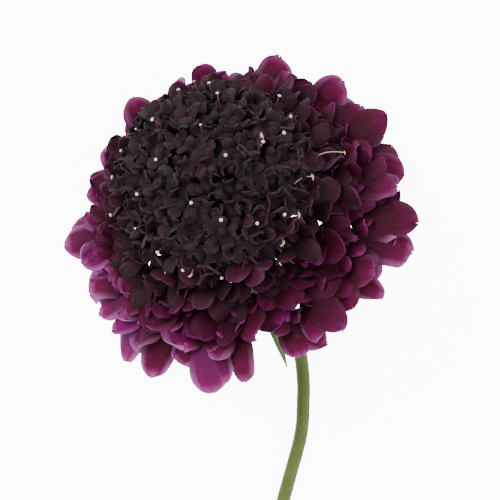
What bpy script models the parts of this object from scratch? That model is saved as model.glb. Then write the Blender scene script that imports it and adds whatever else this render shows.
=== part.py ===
"""A dark scabiosa flower, cut and laid down on a table, at its real size.

Metres, +Z up. The table is the plane z = 0. The stem lies along -Y, and the head lies at the +Y end,
facing up and leaning over to the far left, with its lowest petals pressed flat on the table.
The origin is on the table, under the middle of the flower.

Four solids: the stem, the whorl of green bracts under the head, the large ray florets round its rim,
and the dome of small dark florets with their pale stigmas.
"""

import math
import random

import bpy
from mathutils import Matrix, Vector

SEED = 17

# The head's pose: where the stem joins it, how far its axis leans from upright, and to which side.
# The lean is counted from +X towards +Y, as every azimuth below is.
HEAD_BASE = Vector((-0.0004, 0.0609, 0.0168))
HEAD_TILT = math.radians(32)
HEAD_LEAN = math.radians(129)

PETAL_THICKNESS = 0.00062
SEAT_GAP = 0.0003

# Heights along the head's axis, from the stem's joint upwards.
STEM_TOP = -0.0019
BRACT_DISC_BOTTOM = STEM_TOP + SEAT_GAP
BRACT_DISC_TOP = 0.0006
RAY_HUB_BOTTOM = BRACT_DISC_TOP + SEAT_GAP
RAY_HUB_TOP = 0.0046
DOME_BOTTOM = RAY_HUB_TOP + SEAT_GAP

# The stem: a round stalk that widens into the head, and its way down to the table and along it.
STEM_RADIUS = 0.0011
STEM_TOP_RADIUS = 0.0023
STEM_FLARE = 0.0060
STEM_SIDES = 10
STEM_TOUCHDOWN = Vector((0.0103, 0.0315, STEM_RADIUS))
STEM_ROUTE = (
    (0.0099, 0.0249),
    (0.0079, 0.0172),
    (0.0043, 0.0045),
    (-0.0025, -0.0185),
    (-0.0074, -0.0415),
    (-0.0097, -0.0635),
    (-0.0101, -0.0857),
)
STEM_RINGS_DOWN = 14
STEM_RINGS_PER_SPAN = 3

# The bracts: narrow green leaves in one whorl, one of them longer than the rest.
BRACT_DISC_RADIUS = 0.0040
BRACT_COUNT = 11
BRACT_LENGTH = 0.0120
BRACT_WIDTH = 0.0026
BRACT_RISE = math.radians(-20)
BRACT_CURL = math.radians(-16)
LONG_BRACT_AZIMUTH = math.radians(283)
LONG_BRACT_LENGTH = 0.0220

# The ray florets: a tube out of the hub, three broad outer lobes and two small inner ones.
RAY_HUB_RADIUS = 0.0088
RAY_AZIMUTHS = (178, 205, 232, 262, 298, 325, 341, 352, 14, 37, 62, 90, 120, 150)
INNER_RAY_GAPS = (262, 325, 341)
RAY_ROWS = (
    # name, mouth radius and height, rise, curl, lobe length and width, turn of the row in degrees; then,
    # for the side that lies on the table, the share that the curl grows by and the extra rise
    ("outer", 0.0168, 0.0014, math.radians(4), math.radians(-50), 0.0128, 0.0064, 0.0, 0.62, 0.0),
    ("inner", 0.0148, 0.0030, math.radians(8), math.radians(-42), 0.0110, 0.0060, 14.0, -0.7, 0.32),
)
RAY_LOBE_SPREAD = math.radians(39)
RAY_TUBE_RADIUS = 0.0009

# The dome: a solid core that the small florets stand out of, and the surface that their mouths lie on.
DOME_CENTRE_HEIGHT = 0.0105
DOME_MOUTH_RADIUS = 0.0146
DOME_MOUTH_RISE = 0.0118
CORE_RADIUS = 0.0122
CORE_RISE = 0.0092
DOME_FLORETS = 36
DOME_EDGE_ANGLE = math.radians(88)
DOME_FLORET_RADIUS = 0.0037
BUD_SHARE = 0.24
EDGE_FLORETS = 12
EDGE_FLORET_MOUTH = (0.0150, 0.0078)
EDGE_FLORET_RISE = math.radians(22)
EDGE_FLORET_CURL = math.radians(-20)
EDGE_LOBE_LENGTH = 0.0066
EDGE_LOBE_WIDTH = 0.0042
STIGMA_COUNT = 14
STIGMA_LENGTH = 0.0042
STIGMA_HEAD_RADIUS = 0.00042
STIGMA_STYLE_RADIUS = 0.00030

GOLDEN_ANGLE = math.pi * (3 - math.sqrt(5))

HEAD = (
    Matrix.Translation(HEAD_BASE)
    @ Matrix.Rotation(HEAD_LEAN, 4, "Z")
    @ Matrix.Rotation(HEAD_TILT, 4, "Y")
    @ Matrix.Rotation(-HEAD_LEAN, 4, "Z")
)


def clear_scene():
    for obj in list(bpy.data.objects):
        bpy.data.objects.remove(obj)


def principled(name, color, roughness):
    """A plain finish of that colour."""
    material = bpy.data.materials.new(name)
    material.use_nodes = True
    shader = material.node_tree.nodes["Principled BSDF"]
    shader.inputs["Base Color"].default_value = (*color, 1.0)
    shader.inputs["Roughness"].default_value = roughness
    shader.inputs["Metallic"].default_value = 0.0
    return material


def object_from(name, points, faces):
    """An object with this mesh, linked to the scene."""
    mesh = bpy.data.meshes.new(name)
    mesh.from_pydata(points, [], faces)
    mesh.update()
    obj = bpy.data.objects.new(name, mesh)
    bpy.context.scene.collection.objects.link(obj)
    return obj


def polar(radius, azimuth, height):
    """A point of the head, by its distance from the axis, its azimuth and its height along the axis."""
    return Vector((radius * math.cos(azimuth), radius * math.sin(azimuth), height))


def on_table(point, lowest, heap=0.0):
    """The point in the world. One that reaches into the table is raised to this height and a share more."""
    placed = HEAD @ point
    if placed.z < lowest:
        placed.z = lowest + heap * (lowest - placed.z)
    return placed


def zipped(first, second):
    """Triangles between two rows of point numbers, which may differ in length."""
    faces = []
    i = j = 0
    while i < len(first) - 1 or j < len(second) - 1:
        ahead_first = (i + 1) / max(len(first) - 1, 1)
        ahead_second = (j + 1) / max(len(second) - 1, 1)
        if j == len(second) - 1 or (i < len(first) - 1 and ahead_first <= ahead_second):
            faces.append((first[i], first[i + 1], second[j]))
            i += 1
        else:
            faces.append((first[i], second[j + 1], second[j]))
            j += 1
    return faces


def blade(name, rows, thickness):
    """A thin closed solid round the sheet whose points are given row by row, split alike on both faces."""
    numbers = []
    middle = []
    for row in rows:
        numbers.append(list(range(len(middle), len(middle) + len(row))))
        middle.extend(row)
    sheet = []
    for near, far in zip(numbers, numbers[1:]):
        sheet.extend(zipped(near, far))
    normals = [Vector((0, 0, 0)) for _ in middle]
    for a, b, c in sheet:
        normal = (middle[b] - middle[a]).cross(middle[c] - middle[a])
        for corner in (a, b, c):
            normals[corner] += normal
    half = [normal.normalized() * thickness / 2 for normal in normals]
    upward = 1 if sum((HEAD.to_3x3() @ normal).z for normal in normals) > 0 else -1
    upper = [on_table(p + upward * h, thickness, 0.15) for p, h in zip(middle, half)]
    lower = [on_table(p - upward * h, 0.0) for p, h in zip(middle, half)]
    count = len(middle)
    rim = numbers[0][::-1] + [row[0] for row in numbers[1:-1]] + numbers[-1]
    rim += [row[-1] for row in reversed(numbers[1:-1])]
    faces = []
    for a, b, c in sheet:
        faces.append((a, b, c) if upward > 0 else (a, c, b))
        under = (a + count, c + count, b + count)
        faces.append(under if upward > 0 else under[::-1])
    for a, b in zip(rim, rim[1:] + rim[:1]):
        wall = ((a, b, b + count), (a, b + count, a + count))
        for face in wall:
            faces.append(face if upward > 0 else face[::-1])
    return facing_out(object_from(name, upper + lower, faces))


def facing_out(obj):
    """The same closed object, with its faces turned outwards."""
    mesh = obj.data
    mesh.calc_loop_triangles()
    volume = 0.0
    for triangle in mesh.loop_triangles:
        a, b, c = (mesh.vertices[v].co for v in triangle.vertices)
        volume += a.dot(b.cross(c))
    if volume < 0:
        mesh.flip_normals()
    return obj


def petal(name, start, azimuth, rise, curl, length, width, roll, arch, shape):
    """A lobe that leaves start at this azimuth and rise, bends by curl, and is as wide as shape says."""
    spots = [spot for spot, _ in shape]
    rows = []
    point = start.copy()
    passed = 0.0
    for spot, share in shape:
        lean = rise + curl * (passed + spot) / 2
        step = polar(math.cos(lean), azimuth, math.sin(lean)) * (spot - passed) * length
        point = point + step
        passed = spot
        lean = rise + curl * spot
        along = polar(math.cos(lean), azimuth, math.sin(lean))
        side = Matrix.Rotation(roll, 3, along) @ Vector((-math.sin(azimuth), math.cos(azimuth), 0))
        above = along.cross(side)
        reach = side * share * width / 2
        drop = above * share * width * arch
        ends = [point - reach - drop, point + reach - drop]
        rows.append(ends if spot == spots[0] else [ends[0], point.copy(), ends[1]])
    return blade(name, rows, PETAL_THICKNESS)


BROAD_LOBE = ((0.0, 0.24), (0.45, 0.90), (0.80, 1.0), (1.0, 0.62))
SHORT_LOBE = ((0.0, 0.34), (0.62, 1.0), (1.0, 0.62))
LEAF_LOBE = ((0.0, 0.62), (0.40, 1.0), (0.75, 0.66), (1.0, 0.12))


def turned(name, profile, sides, place, turn=0.0):
    """A closed solid of rings, from a profile of (radius, height) pairs, moved by place."""
    points = []
    for radius, height in profile:
        for k in range(sides):
            angle = turn + 2 * math.pi * k / sides
            points.append(place @ Vector((radius * math.cos(angle), radius * math.sin(angle), height)))
    faces = [tuple(range(sides))[::-1]]
    for ring in range(len(profile) - 1):
        for k in range(sides):
            after = (k + 1) % sides
            low, high = ring * sides, (ring + 1) * sides
            faces.append((low + k, low + after, high + after, high + k))
    top = (len(profile) - 1) * sides
    faces.append(tuple(range(top, top + sides)))
    return facing_out(object_from(name, points, faces))


def standing(point, direction):
    """A matrix that puts +Z along the direction, with its origin at the point."""
    return Matrix.Translation(point) @ direction.to_track_quat("Z", "Y").to_matrix().to_4x4()


def outer_shell(mesh):
    """The mesh without scraps and sealed hollows: of its surfaces, only the largest is kept."""
    owner = list(range(len(mesh.polygons)))

    def root(k):
        while owner[k] != k:
            owner[k] = owner[owner[k]]
            k = owner[k]
        return k

    beside = {}
    for polygon in mesh.polygons:
        for edge in polygon.edge_keys:
            beside.setdefault(edge, []).append(polygon.index)
    for around in beside.values():
        if len(around) == 2:
            owner[root(around[0])] = root(around[1])
    volumes = {}
    for polygon in mesh.polygons:
        a, *rest = (mesh.vertices[v].co for v in polygon.vertices)
        shell = root(polygon.index)
        for b, c in zip(rest, rest[1:]):
            volumes[shell] = volumes.get(shell, 0.0) + a.dot(b.cross(c))
    kept = max(volumes, key=volumes.get)
    faces = [tuple(polygon.vertices) for polygon in mesh.polygons if root(polygon.index) == kept]
    numbers = {}
    for face in faces:
        for v in face:
            numbers.setdefault(v, len(numbers))
    points = [mesh.vertices[v].co.copy() for v in numbers]
    return points, [tuple(numbers[v] for v in face) for face in faces]


def fused(name, pieces, material):
    """One solid from pieces that overlap, by one union on a collection."""
    base, *others = pieces
    group = bpy.data.collections.new(name + "_pieces")
    bpy.context.scene.collection.children.link(group)
    for piece in others:
        bpy.context.scene.collection.objects.unlink(piece)
        group.objects.link(piece)
    union = base.modifiers.new("Union", "BOOLEAN")
    union.operation = "UNION"
    union.operand_type = "COLLECTION"
    union.collection = group
    union.solver = "MANIFOLD"
    graph = bpy.context.evaluated_depsgraph_get()
    joined = bpy.data.meshes.new_from_object(base.evaluated_get(graph))
    points, faces = outer_shell(joined)
    for piece in pieces:
        bpy.data.objects.remove(piece)
    bpy.data.collections.remove(group)
    obj = object_from(name, points, faces)
    obj.data.materials.append(material)
    return obj


def smooth_route(points, per_span):
    """Points along one smooth curve through the given ones."""
    first = points[0] * 2 - points[1]
    last = points[-1] * 2 - points[-2]
    guide = [first, *points, last]
    route = []
    for before, start, end, after in zip(guide, guide[1:], guide[2:], guide[3:]):
        for k in range(per_span):
            t = k / per_span
            route.append(
                0.5
                * (
                    2 * start
                    + (end - before) * t
                    + (2 * before - 5 * start + 4 * end - after) * t**2
                    + (3 * start - before - 3 * end + after) * t**3
                )
            )
    route.append(points[-1])
    return route


def stem_line():
    """The stem's centre line: one bend from under the head down to the table, then along it to the cut."""
    axis = (HEAD.to_3x3() @ Vector((0, 0, 1))).normalized()
    top = HEAD @ Vector((0, 0, STEM_TOP))
    down = top - axis * 0.0125
    level = STEM_TOUCHDOWN + Vector((0, 0.0115, 0))
    bend = []
    for k in range(STEM_RINGS_DOWN):
        t = k / STEM_RINGS_DOWN
        bend.append(
            top * (1 - t) ** 3
            + down * 3 * t * (1 - t) ** 2
            + level * 3 * t**2 * (1 - t)
            + STEM_TOUCHDOWN * t**3
        )
    lying = [STEM_TOUCHDOWN] + [Vector((x, y, STEM_RADIUS)) for x, y in STEM_ROUTE]
    return bend + smooth_route(lying, STEM_RINGS_PER_SPAN)


def build_stem(material):
    """A round stalk with a flat facet underneath, where it lies on the table."""
    line = stem_line()
    sides = STEM_SIDES
    flat_radius = STEM_RADIUS / math.cos(math.pi / sides)
    points = []
    passed = 0.0
    for k, spot in enumerate(line):
        ahead = line[min(k + 1, len(line) - 1)] - line[max(k - 1, 0)]
        along = ahead.normalized()
        if k == 0:
            along = -(HEAD.to_3x3() @ Vector((0, 0, 1)))
        else:
            passed += (spot - line[k - 1]).length
        across = along.cross(Vector((0, 0, 1))).normalized()
        above = across.cross(along)
        flare = max(0.0, 1 - passed / STEM_FLARE) ** 2
        radius = flat_radius + (STEM_TOP_RADIUS - flat_radius) * flare
        for side in range(sides):
            angle = 2 * math.pi * (side + 0.5) / sides
            points.append(spot + radius * (across * math.sin(angle) - above * math.cos(angle)))
    faces = [tuple(range(sides))]
    for ring in range(len(line) - 1):
        low, high = ring * sides, (ring + 1) * sides
        for k in range(sides):
            after = (k + 1) % sides
            faces.append((low + k, high + k, high + after, low + after))
    faces.append(tuple(range(len(points) - sides, len(points)))[::-1])
    stem = facing_out(object_from("stem", points, faces))
    stem.data.materials.append(material)
    stem.data.shade_smooth()
    stem.data.set_sharp_from_angle(angle=math.radians(40))
    return stem


def build_bracts(material, rng):
    """A shallow green disc under the head, with the bracts growing out of its edge."""
    disc = ((BRACT_DISC_RADIUS * 0.66, BRACT_DISC_BOTTOM), (BRACT_DISC_RADIUS, -0.0006),
            (BRACT_DISC_RADIUS, BRACT_DISC_TOP))
    pieces = [turned("bract_disc", disc, 16, HEAD)]
    for k in range(BRACT_COUNT):
        azimuth = LONG_BRACT_AZIMUTH + 2 * math.pi * k / BRACT_COUNT
        length = BRACT_LENGTH * rng.uniform(0.85, 1.15)
        if k == 0:
            length = LONG_BRACT_LENGTH
        start = polar(BRACT_DISC_RADIUS * 0.62, azimuth, -0.0005)
        lean = (BRACT_RISE, BRACT_CURL)
        pieces.append(petal(f"bract_{k}", start, azimuth, *lean, length, BRACT_WIDTH, 0.0, 0.10, LEAF_LOBE))
    return fused("bracts", pieces, material)


def ray_floret(name, azimuth, row, rng):
    """The pieces of one ray floret, from the tube's root in the hub to the lobes."""
    row_name, mouth_radius, mouth_height, rise, curl, length, width, _, extra_curl, extra_rise = row
    facing_table = max(0.0, math.cos(azimuth - HEAD_LEAN))
    curl *= 1 + extra_curl * facing_table
    rise += extra_rise * facing_table
    shape = BROAD_LOBE if row_name == "outer" else SHORT_LOBE
    root = polar(RAY_HUB_RADIUS * 0.72, azimuth, mouth_height * 0.6 + 0.0012)
    mouth = polar(mouth_radius, azimuth, mouth_height)
    way = mouth - root
    tube = ((RAY_TUBE_RADIUS * 0.8, 0.0), (RAY_TUBE_RADIUS, way.length + 0.0006))
    pieces = [turned(name + "_tube", tube, 5, HEAD @ standing(root, way))]
    for lobe, turn in enumerate((-RAY_LOBE_SPREAD, 0.0, RAY_LOBE_SPREAD)):
        heading = azimuth + turn + rng.uniform(-0.08, 0.08)
        size = rng.uniform(0.88, 1.08) * (1.0 if lobe == 1 else 0.9)
        lift = rise + rng.uniform(-0.05, 0.12)
        droop = curl * rng.uniform(0.6, 1.2)
        roll = rng.uniform(-0.35, 0.35) - 0.2 * (lobe - 1)
        lobe_name = f"{name}_lobe_{lobe}"
        extent = (length * size, width * size)
        pieces.append(petal(lobe_name, mouth, heading, lift, droop, *extent, roll, 0.12, shape))
    return pieces


def build_ray_florets(material, rng):
    """The two rows of broad-lobed florets, fused to the hub that they grow from."""
    hub = ((RAY_HUB_RADIUS * 0.8, RAY_HUB_BOTTOM), (RAY_HUB_RADIUS, RAY_HUB_BOTTOM + 0.0009),
           (RAY_HUB_RADIUS, RAY_HUB_TOP))
    pieces = [turned("ray_hub", hub, 20, HEAD)]
    for row in RAY_ROWS:
        for k, degrees in enumerate(RAY_AZIMUTHS):
            if row[0] == "inner" and degrees in INNER_RAY_GAPS:
                continue
            azimuth = math.radians(degrees + row[7])
            pieces.extend(ray_floret(f"{row[0]}_{k}", azimuth, row, rng))
    return fused("ray_florets", pieces, material)


def dome_spot(angle, azimuth, radius, rise):
    """A point and the outward direction on the dome, at this angle from its top."""
    point = polar(radius * math.sin(angle), azimuth, DOME_CENTRE_HEIGHT + rise * math.cos(angle))
    outward = polar(math.sin(angle) / radius, azimuth, math.cos(angle) / rise).normalized()
    return point, outward


def disc_floret(name, mouth, outward, size, opening, turn):
    """One small floret: a tube that widens into a cup of five blunt lobes."""
    place = HEAD @ standing(mouth, outward)
    throat = size * 0.36
    thick = PETAL_THICKNESS
    outer = []
    inner = []
    for k in range(5):
        for step, reach, lift in ((0.0, 0.62, 0.10), (0.30, 1.0, 0.42), (0.70, 1.0, 0.42)):
            angle = turn + 2 * math.pi * (k + step) / 5
            radius = throat + (reach * size - throat) * opening
            height = size * lift * (1.6 - opening)
            outer.append(polar(radius, angle, height))
            inner.append(polar(radius - thick * 0.45, angle, height + thick))
    corners = [turn + 2 * math.pi * (k - 0.1) / 5 for k in range(5)]
    foot = [polar(throat * 0.8, corner, -0.0048) for corner in corners]
    neck = [polar(throat, corner, -size * 0.25) for corner in corners]
    hollow = Vector((0, 0, thick * 0.4))
    points = [place @ p for p in (*foot, *neck, *outer, *inner, hollow)]
    first_outer = 10
    first_inner = 25
    faces = [(4, 3, 2, 1, 0)]
    for k in range(5):
        after = (k + 1) % 5
        faces.append((k, after, 5 + after, 5 + k))
        ring = [first_outer + (3 * k + step) % 15 for step in range(4)]
        faces.append((5 + k, ring[1], ring[0]))
        faces.append((5 + k, 5 + after, ring[1]))
        faces.append((5 + after, ring[2], ring[1]))
        faces.append((5 + after, ring[3], ring[2]))
        inside = [first_inner + (3 * k + step) % 15 for step in range(4)]
        for step in range(3):
            faces.append((ring[step], ring[step + 1], inside[step + 1], inside[step]))
            faces.append((inside[step], inside[step + 1], 40))
    return facing_out(object_from(name, points, faces))


def edge_floret(name, azimuth, rng):
    """The pieces of a floret of the dome's edge, whose two or three outward lobes are its longest."""
    mouth = polar(EDGE_FLORET_MOUTH[0], azimuth, EDGE_FLORET_MOUTH[1] + rng.uniform(-0.0003, 0.0008))
    root = polar(CORE_RADIUS * 0.6, azimuth, EDGE_FLORET_MOUTH[1])
    way = mouth - root
    tube = ((0.0009, 0.0), (0.0012, way.length + 0.0006))
    pieces = [turned(name + "_tube", tube, 5, HEAD @ standing(root, way))]
    for lobe, turn in enumerate((-0.75, 0.0, 0.75)):
        size = rng.uniform(0.85, 1.1)
        heading = azimuth + turn + rng.uniform(-0.12, 0.12)
        lift = EDGE_FLORET_RISE + rng.uniform(-0.05, 0.25)
        extent = (EDGE_LOBE_LENGTH * size, EDGE_LOBE_WIDTH * size)
        roll = rng.uniform(-0.3, 0.3)
        lobe_name = f"{name}_lobe_{lobe}"
        pieces.append(
            petal(lobe_name, mouth, heading, lift, EDGE_FLORET_CURL, *extent, roll, 0.12, SHORT_LOBE)
        )
    return pieces


def bud(name, mouth, outward, size):
    """An unopened floret: a small knob on a short neck."""
    widths = ((0.5, -0.0040), (0.95, -size * 0.1), (0.72, size * 0.55), (0.25, size * 0.8))
    profile = [(size * share, height) for share, height in widths]
    return turned(name, profile, 6, HEAD @ standing(mouth, outward))


def stigma(name, point, outward):
    """A pin that stands out of a floret: a thin style with a round head."""
    length, head = STIGMA_LENGTH, STIGMA_HEAD_RADIUS
    profile = ((STIGMA_STYLE_RADIUS, -0.0050), (STIGMA_STYLE_RADIUS, length - head), (head, length),
               (STIGMA_STYLE_RADIUS * 0.6, length + head))
    return turned(name, profile, 4, HEAD @ standing(point, outward))


def build_disc_florets(material, rng):
    """The dome: a core, the small florets in a spiral over it, and the stigmas between them."""
    core = [(CORE_RADIUS * 0.72, DOME_BOTTOM), (CORE_RADIUS * 0.90, DOME_BOTTOM + 0.0012)]
    for step in range(6):
        angle = math.radians(96 - 17 * step)
        core.append((CORE_RADIUS * math.sin(angle), DOME_CENTRE_HEIGHT + CORE_RISE * math.cos(angle)))
    pieces = [turned("core", core, 20, HEAD)]
    for k in range(DOME_FLORETS):
        share = (k + 0.5) / DOME_FLORETS
        angle = math.acos(1 - share * (1 - math.cos(DOME_EDGE_ANGLE)))
        mouth, outward = dome_spot(angle, k * GOLDEN_ANGLE, DOME_MOUTH_RADIUS, DOME_MOUTH_RISE)
        wobble = Vector((rng.uniform(-1, 1), rng.uniform(-1, 1), rng.uniform(-1, 1))) * 0.12
        outward = (outward + wobble).normalized()
        if share < BUD_SHARE:
            pieces.append(bud(f"bud_{k}", mouth, outward, DOME_FLORET_RADIUS * 0.70))
            continue
        size = DOME_FLORET_RADIUS * (0.90 + 0.14 * share) * rng.uniform(0.94, 1.06)
        opening = 0.72 + 0.28 * share
        turn = rng.uniform(0, 2 * math.pi)
        pieces.append(disc_floret(f"disc_{k}", mouth, outward, size, opening, turn))
    for k in range(EDGE_FLORETS):
        azimuth = 2 * math.pi * (k + rng.uniform(-0.2, 0.2)) / EDGE_FLORETS
        pieces.extend(edge_floret(f"edge_{k}", azimuth, rng))
    for k in range(STIGMA_COUNT):
        share = (k + 0.7) / STIGMA_COUNT
        angle = math.acos(1 - share)
        point, outward = dome_spot(angle, 0.9 + k * GOLDEN_ANGLE * 1.07, DOME_MOUTH_RADIUS, DOME_MOUTH_RISE)
        pieces.append(stigma(f"stigma_{k}", point, outward))
    return fused("disc_florets", pieces, material)


clear_scene()
rng = random.Random(SEED)
build_stem(principled("stem_green", (0.24, 0.33, 0.08), 0.5))
build_bracts(principled("bract_green", (0.10, 0.19, 0.05), 0.55), rng)
build_ray_florets(principled("ray_petal", (0.27, 0.015, 0.14), 0.45), rng)
build_disc_florets(principled("disc_petal", (0.035, 0.006, 0.018), 0.5), rng)
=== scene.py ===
"""The look of the cut scabiosa flower, seen from above as it lies on a pale table.

Each section is one group of pieces, in the order in which the flower is put together, from the stem up.
Metres, in the same frame as the CAD model.
"""

import math
import random
from types import SimpleNamespace

import bpy
from mathutils import Matrix, Vector, noise


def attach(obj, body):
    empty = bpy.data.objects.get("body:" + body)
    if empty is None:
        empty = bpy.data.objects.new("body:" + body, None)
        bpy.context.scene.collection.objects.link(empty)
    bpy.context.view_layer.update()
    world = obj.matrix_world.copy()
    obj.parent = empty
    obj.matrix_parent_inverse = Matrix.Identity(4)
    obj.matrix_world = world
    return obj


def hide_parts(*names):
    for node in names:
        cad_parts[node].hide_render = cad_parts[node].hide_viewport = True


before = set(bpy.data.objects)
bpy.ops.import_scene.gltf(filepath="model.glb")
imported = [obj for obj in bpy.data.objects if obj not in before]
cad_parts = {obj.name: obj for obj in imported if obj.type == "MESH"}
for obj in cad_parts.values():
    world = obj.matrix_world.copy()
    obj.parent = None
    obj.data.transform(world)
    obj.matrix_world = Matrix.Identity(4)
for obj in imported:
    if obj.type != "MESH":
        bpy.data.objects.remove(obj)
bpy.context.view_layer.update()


# Stem
# The flower's one stalk: soft green tissue with shallow ribs and short pale hairs, grown into the head.
# It leaves the head straight, bends down to the table and lies along it to the cut.

HEAD_BASE = Vector((-0.0004, 0.0609, 0.0168))
HEAD_TILT = math.radians(32)
HEAD_LEAN = math.radians(129)
HEAD = (
    Matrix.Translation(HEAD_BASE)
    @ Matrix.Rotation(HEAD_LEAN, 4, "Z")
    @ Matrix.Rotation(HEAD_TILT, 4, "Y")
    @ Matrix.Rotation(-HEAD_LEAN, 4, "Z")
)

STEM_TOP = -0.0019
STEM_RADIUS = 0.0011
STEM_TOP_RADIUS = 0.0023
STEM_FLARE = 0.0060
STEM_TOUCHDOWN = Vector((0.0103, 0.0315, STEM_RADIUS))
STEM_ROUTE = (
    (0.0099, 0.0249),
    (0.0079, 0.0172),
    (0.0043, 0.0045),
    (-0.0025, -0.0185),
    (-0.0074, -0.0415),
    (-0.0097, -0.0635),
    (-0.0101, -0.0857),
)
# The bend's two handles: how far it heads straight out of the head, and straight on along the table.
STEM_STRAIGHT_TOP = 0.0125
STEM_STRAIGHT_END = 0.0115
STEM_BEND_RINGS = 40
STEM_RINGS_PER_SPAN = 14
STEM_SIDES = 36
STEM_RIBS = 9
STEM_RIB_DEPTH = 0.035
# The skin lies just inside the solid's surface, and swells and thins a little along its length.
STEM_SKIN_SHARE = 0.985
STEM_SWELL = 0.03
STEM_SWELLS_PER_METRE = 90

STEM_HAIRS = 1500
STEM_HAIR_LENGTH = 0.00055
STEM_HAIR_HALF_WIDTH = 0.000022
STEM_HAIR_SEAT = 0.96
STEM_HAIR_LOWEST = 0.00005

stem_rng = random.Random(3)


def new_material(name):
    """A node material, and a kit of functions that add nodes to it and feed its Principled shader."""
    material = bpy.data.materials.new(name)
    material.use_nodes = True
    tree = material.node_tree
    shader = tree.nodes["Principled BSDF"]

    def feed(socket, value):
        """Links the socket to this output of another node, or sets it to this number, vector or colour."""
        if isinstance(value, bpy.types.NodeSocket):
            tree.links.new(value, socket)
        elif socket.type == "RGBA":
            socket.default_value = (*value, 1.0)
        else:
            socket.default_value = value

    def node(kind, inputs, **settings):
        """A new node with these inputs and settings."""
        made = tree.nodes.new(kind)
        for key, value in settings.items():
            setattr(made, key, value)
        for key, value in inputs.items():
            feed(made.inputs[key], value)
        return made

    def shade(inputs):
        """Feeds the shader's own inputs."""
        for key, value in inputs.items():
            feed(shader.inputs[key], value)

    def marks():
        """What the points are marked with: the share of the length, the share of the width and the tint."""
        color = node("ShaderNodeVertexColor", {}, layer_name="mark").outputs["Color"]
        return node("ShaderNodeSeparateColor", {"Color": color}).outputs[:3]

    def place():
        """The place on the object."""
        return node("ShaderNodeTexCoord", {}).outputs["Object"]

    def cloud(vector, scale, detail):
        """Noise at this place."""
        made = node("ShaderNodeTexNoise", {"Vector": vector, "Scale": scale, "Detail": detail})
        return made.outputs["Fac"]

    def ramp(factor, stops):
        """A ramp over this factor, from pairs of a position and a colour or a grey level."""
        made = node("ShaderNodeValToRGB", {"Fac": factor})
        elements = made.color_ramp.elements
        while len(elements) < len(stops):
            elements.new(0.5)
        for element, (position, color) in zip(elements, stops):
            element.position = position
            element.color = (*color, 1.0) if isinstance(color, tuple) else (color, color, color, 1.0)
        return made.outputs["Color"]

    def maths(operation, first, second=0.0):
        """The result of one maths node."""
        return node("ShaderNodeMath", {0: first, 1: second}, operation=operation).outputs[0]

    def mixed(factor, first, second):
        """Two colours mixed."""
        return node("ShaderNodeMix", {0: factor, 6: first, 7: second}, data_type="RGBA").outputs[2]

    def bump(height, strength, distance):
        """Makes the shader's normals follow this height."""
        made = node("ShaderNodeBump", {"Height": height, "Strength": strength, "Distance": distance})
        shade({"Normal": made.outputs["Normal"]})

    return material, SimpleNamespace(
        tree=tree, shader=shader, feed=feed, node=node, shade=shade, marks=marks, place=place, cloud=cloud,
        ramp=ramp, maths=maths, mixed=mixed, bump=bump,
    )


class Build:
    """A mesh in the making: points, faces, and the marks of the points, which the materials read."""

    def __init__(self):
        self.points = []
        self.faces = []
        self.marks = []

    def add(self, points, faces, marks):
        """Adds one closed mesh."""
        base = len(self.points)
        self.points.extend(points)
        self.faces.extend(tuple(base + k for k in face) for face in faces)
        self.marks.extend(marks)

    def finish(self, name, slot, material, *replaced):
        """Makes the object, in place of these nodes of the CAD model. The slot argument is not used."""
        mesh = bpy.data.meshes.new(name)
        mesh.from_pydata(self.points, [], self.faces)
        layer = mesh.color_attributes.new("mark", "FLOAT_COLOR", "POINT")
        layer.data.foreach_set("color", [value for mark in self.marks for value in (*mark, 1.0)])
        mesh.update()
        mesh.shade_smooth()
        obj = bpy.data.objects.new(name, mesh)
        bpy.context.scene.collection.objects.link(obj)
        mesh.materials.append(material)
        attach(obj, "root")
        if replaced:
            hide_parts(*replaced)


def ring_faces(rings, sides):
    """The faces of a closed tube of this many rings."""
    faces = []
    for ring in range(rings - 1):
        low, high = ring * sides, (ring + 1) * sides
        for side in range(sides):
            after = (side + 1) % sides
            faces.append((low + side, low + after, high + after, high + side))
    faces.append(tuple(range(sides))[::-1])
    faces.append(tuple(range((rings - 1) * sides, rings * sides)))
    return faces


def tube_mesh(build, line, radii, sides, tint, across=None, rib_depth=0.0, ribs=0):
    """A closed tube along the line. Each ring turns no more than the line does, so that ribs run straight."""
    points, marks = [], []
    for k, spot in enumerate(line):
        along = (line[min(k + 1, len(line) - 1)] - line[max(k - 1, 0)]).normalized()
        if across is None:
            across = along.orthogonal()
        across = (across - along * across.dot(along)).normalized()
        above = along.cross(across)
        for side in range(sides):
            angle = 2 * math.pi * side / sides
            radius = radii[k] * (1 + rib_depth * math.cos(ribs * angle))
            points.append(spot + radius * (across * math.cos(angle) + above * math.sin(angle)))
            marks.append((k / (len(line) - 1), side / sides, tint))
    build.add(points, ring_faces(len(line), sides), marks)


def smooth_route(points, per_span):
    """Points along one smooth curve through the given ones."""
    guide = [points[0] * 2 - points[1], *points, points[-1] * 2 - points[-2]]
    route = []
    for before, start, end, after in zip(guide, guide[1:], guide[2:], guide[3:]):
        for k in range(per_span):
            t = k / per_span
            route.append(
                0.5
                * (
                    2 * start
                    + (end - before) * t
                    + (2 * before - 5 * start + 4 * end - after) * t**2
                    + (3 * start - before - 3 * end + after) * t**3
                )
            )
    route.append(points[-1])
    return route


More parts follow.
